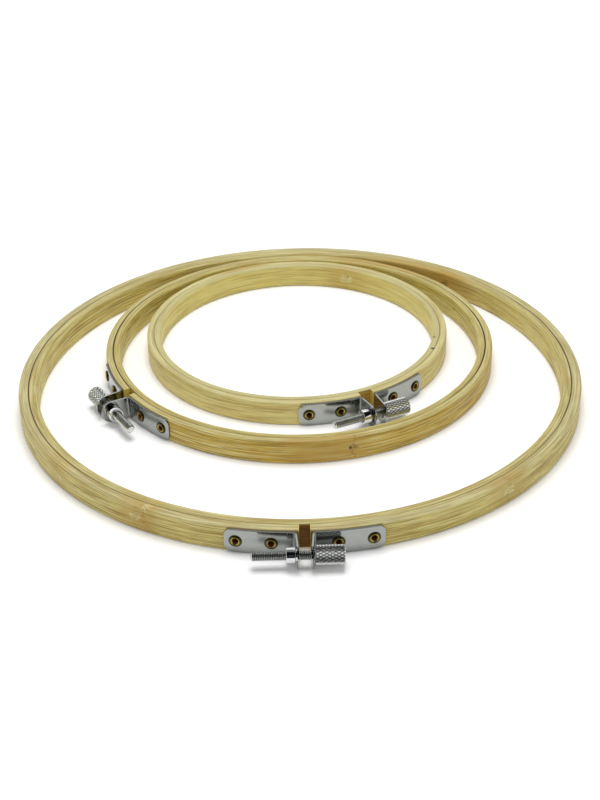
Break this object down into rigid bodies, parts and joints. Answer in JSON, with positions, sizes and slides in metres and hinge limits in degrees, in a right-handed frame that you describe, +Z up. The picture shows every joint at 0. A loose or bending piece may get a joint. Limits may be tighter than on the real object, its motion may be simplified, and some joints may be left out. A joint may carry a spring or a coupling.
{
  "type": "embroidery hoop",
  "caption": "Nested bamboo embroidery hoops: closed inner rings in split outer rings, each closed by riveted steel brackets and a knurled thumbscrew.",
  "frame": {"origin": "middle of the footprint on the table, between the back of the large ring and the tips of its ears", "axes": "+Z up out of the hoops, +Y away from the large clamp, +X to the right seen from the clamp"},
  "size_m": [0.26, 0.2738, 0.0115],
  "materials": {
    "bamboo_outer": "bare bamboo, fine fibres along the ring",
    "bamboo_inner": "bare bamboo, fine fibres along the ring",
    "plated_steel": "bright zinc plate, satin",
    "chrome": "bright nickel plate",
    "brass": "polished"
  },
  "bodies": {
    "large_outer": {"large_outer_ring": "bamboo_outer", "large_head_bracket": "plated_steel", "large_eyelet_1": "brass", "large_eyelet_2": "brass"},
    "large_jaw": {"large_nut_bracket": "plated_steel", "large_eyelet_3": "brass", "large_eyelet_4": "brass", "large_clamp_nut": "chrome"},
    "large_screw": {"large_thumbscrew": "chrome"},
    "large_inner": {"large_inner_ring": "bamboo_inner"},
    "medium_outer": {"medium_outer_ring": "bamboo_outer", "medium_head_bracket": "plated_steel", "medium_eyelet_1": "brass", "medium_eyelet_2": "brass"},
    "medium_jaw": {"medium_nut_bracket": "plated_steel", "medium_eyelet_3": "brass", "medium_eyelet_4": "brass", "medium_clamp_nut": "chrome"},
    "medium_screw": {"medium_thumbscrew": "chrome"},
    "medium_inner": {"medium_inner_ring": "bamboo_inner"},
    "small_outer": {"small_outer_ring": "bamboo_outer", "small_head_bracket": "plated_steel", "small_eyelet_1": "brass", "small_eyelet_2": "brass"},
    "small_jaw": {"small_nut_bracket": "plated_steel", "small_eyelet_3": "brass", "small_eyelet_4": "brass", "small_clamp_nut": "chrome"},
    "small_screw": {"small_thumbscrew": "chrome"},
    "small_inner": {"small_inner_ring": "bamboo_inner"}
  },
  "joints": [
    {"name": "large_screw_turn", "type": "hinge", "parent": "large_outer", "child": "large_screw", "pos_m": [0, -0.13157, 0.00575], "axis": [-1, 0, 0], "range_deg": [-1800, 540]},
    {"name": "large_jaw_flex", "type": "hinge", "parent": "large_outer", "child": "large_jaw", "pos_m": [0, 0.13473, 0.00575], "axis": [0, 0, 1], "range_deg": [-0.76, 0.24], "deforming": ["large_outer_ring"]},
    {"name": "large_inner_lift", "type": "slide", "parent": "large_outer", "child": "large_inner", "axis": [0, 0, 1], "range_m": [0, 0.04]},
    {"name": "medium_hoop_lift", "type": "slide", "parent": "large_outer", "child": "medium_outer", "axis": [0, 0, 1], "range_m": [0, 0.04]},
    {"name": "medium_screw_turn", "type": "hinge", "parent": "medium_outer", "child": "medium_screw", "pos_m": [-0.08682, -0.01674, 0.00575], "axis": [0.5105, -0.8599, 0], "range_deg": [-1800, 540]},
    {"name": "medium_jaw_flex", "type": "hinge", "parent": "medium_outer", "child": "medium_jaw", "pos_m": [0.07851, 0.08142, 0.00575], "axis": [0, 0, 1], "range_deg": [-0.32, 1.05], "deforming": ["medium_outer_ring"]},
    {"name": "medium_inner_lift", "type": "slide", "parent": "medium_outer", "child": "medium_inner", "axis": [0, 0, 1], "range_m": [0, 0.04]},
    {"name": "small_hoop_lift", "type": "slide", "parent": "large_outer", "child": "small_outer", "axis": [0, 0, 1], "range_m": [0, 0.04]},
    {"name": "small_screw_turn", "type": "hinge", "parent": "small_outer", "child": "small_screw", "pos_m": [0.03401, -0.02649, 0.00575], "axis": [-0.9048, -0.4258, 0], "range_deg": [-1800, 540]},
    {"name": "small_jaw_flex", "type": "hinge", "parent": "small_outer", "child": "small_jaw", "pos_m": [-0.03117, 0.11201, 0.00575], "axis": [0, 0, 1], "range_deg": [-1.32, 0.4], "deforming": ["small_outer_ring"]},
    {"name": "small_inner_lift", "type": "slide", "parent": "small_outer", "child": "small_inner", "axis": [0, 0, 1], "range_m": [0, 0.04]}
  ],
  "couplings": [
    {"joint": "large_jaw_flex", "follows": "large_screw_turn", "ratio": 0.00041836},
    {"joint": "medium_jaw_flex", "follows": "medium_screw_turn", "ratio": -0.00057942},
    {"joint": "small_jaw_flex", "follows": "small_screw_turn", "ratio": 0.0007278}
  ]
}
